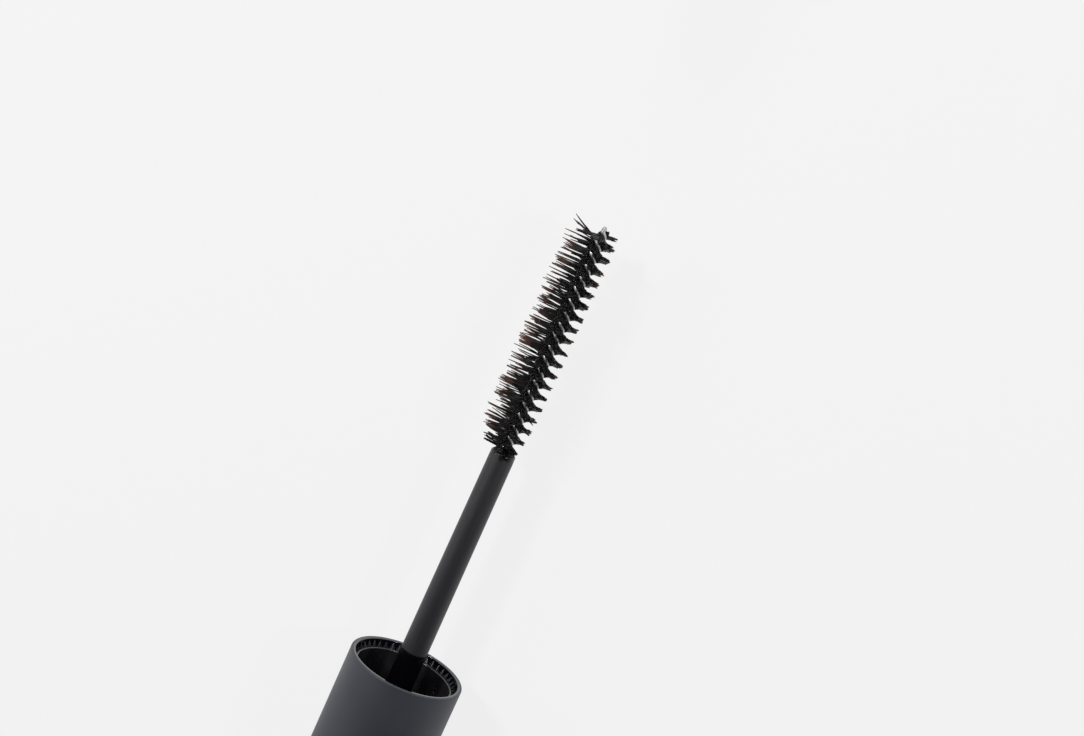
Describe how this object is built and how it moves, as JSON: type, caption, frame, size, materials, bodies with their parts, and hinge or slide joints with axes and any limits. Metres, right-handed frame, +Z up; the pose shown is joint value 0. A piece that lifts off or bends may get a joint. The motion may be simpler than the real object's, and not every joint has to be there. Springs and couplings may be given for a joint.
{
  "type": "mascara tube",
  "caption": "Round screw-closed mascara tube, open: a cap that carries a stem with a twisted wire brush, and a threaded bottle with a wiper.",
  "frame": {"origin": "on the surface that the open tube lies on, under the middle of its bounding box", "axes": "+X along the common axis, from the closed end of the cap to the base of the bottle; +Z up"},
  "size_m": [0.2268, 0.015, 0.015],
  "materials": {
    "cap_plastic": "matte soft-touch blue-grey",
    "inner_cap_plastic": "gloss black",
    "stem_plastic": "satin dark grey",
    "wire": "drawn wire",
    "bristle_nylon": "wet with mascara",
    "washer_foam": "closed-cell foam",
    "vial_plastic": "gloss black",
    "wiper_rubber": "soft translucent",
    "mascara": "wet paste"
  },
  "bodies": {
    "applicator": {"cap_shell": "cap_plastic", "inner_cap": "inner_cap_plastic", "stem": "stem_plastic", "core_wire": "wire", "bristles": "bristle_nylon"},
    "washer": {"sealing_washer": "washer_foam"},
    "bottle": {"bottle_shell": "cap_plastic", "inner_vial": "vial_plastic", "wiper": "wiper_rubber", "mascara_paste": "mascara"}
  },
  "joints": [
    {"name": "unscrew", "type": "hinge", "parent": "applicator", "child": "washer", "pos_m": [-0.0817, 0, 0.0075], "axis": [1, 0, 0], "range_deg": [-5400, 0]},
    {"name": "pull_out", "type": "slide", "parent": "washer", "child": "bottle", "axis": [1, 0, 0], "range_m": [-0.1125, 0], "deforming": ["bristles", "wiper"]}
  ],
  "couplings": [
    {"joint": "pull_out", "follows": "unscrew", "m_per_rad": 0.0011937}
  ]
}
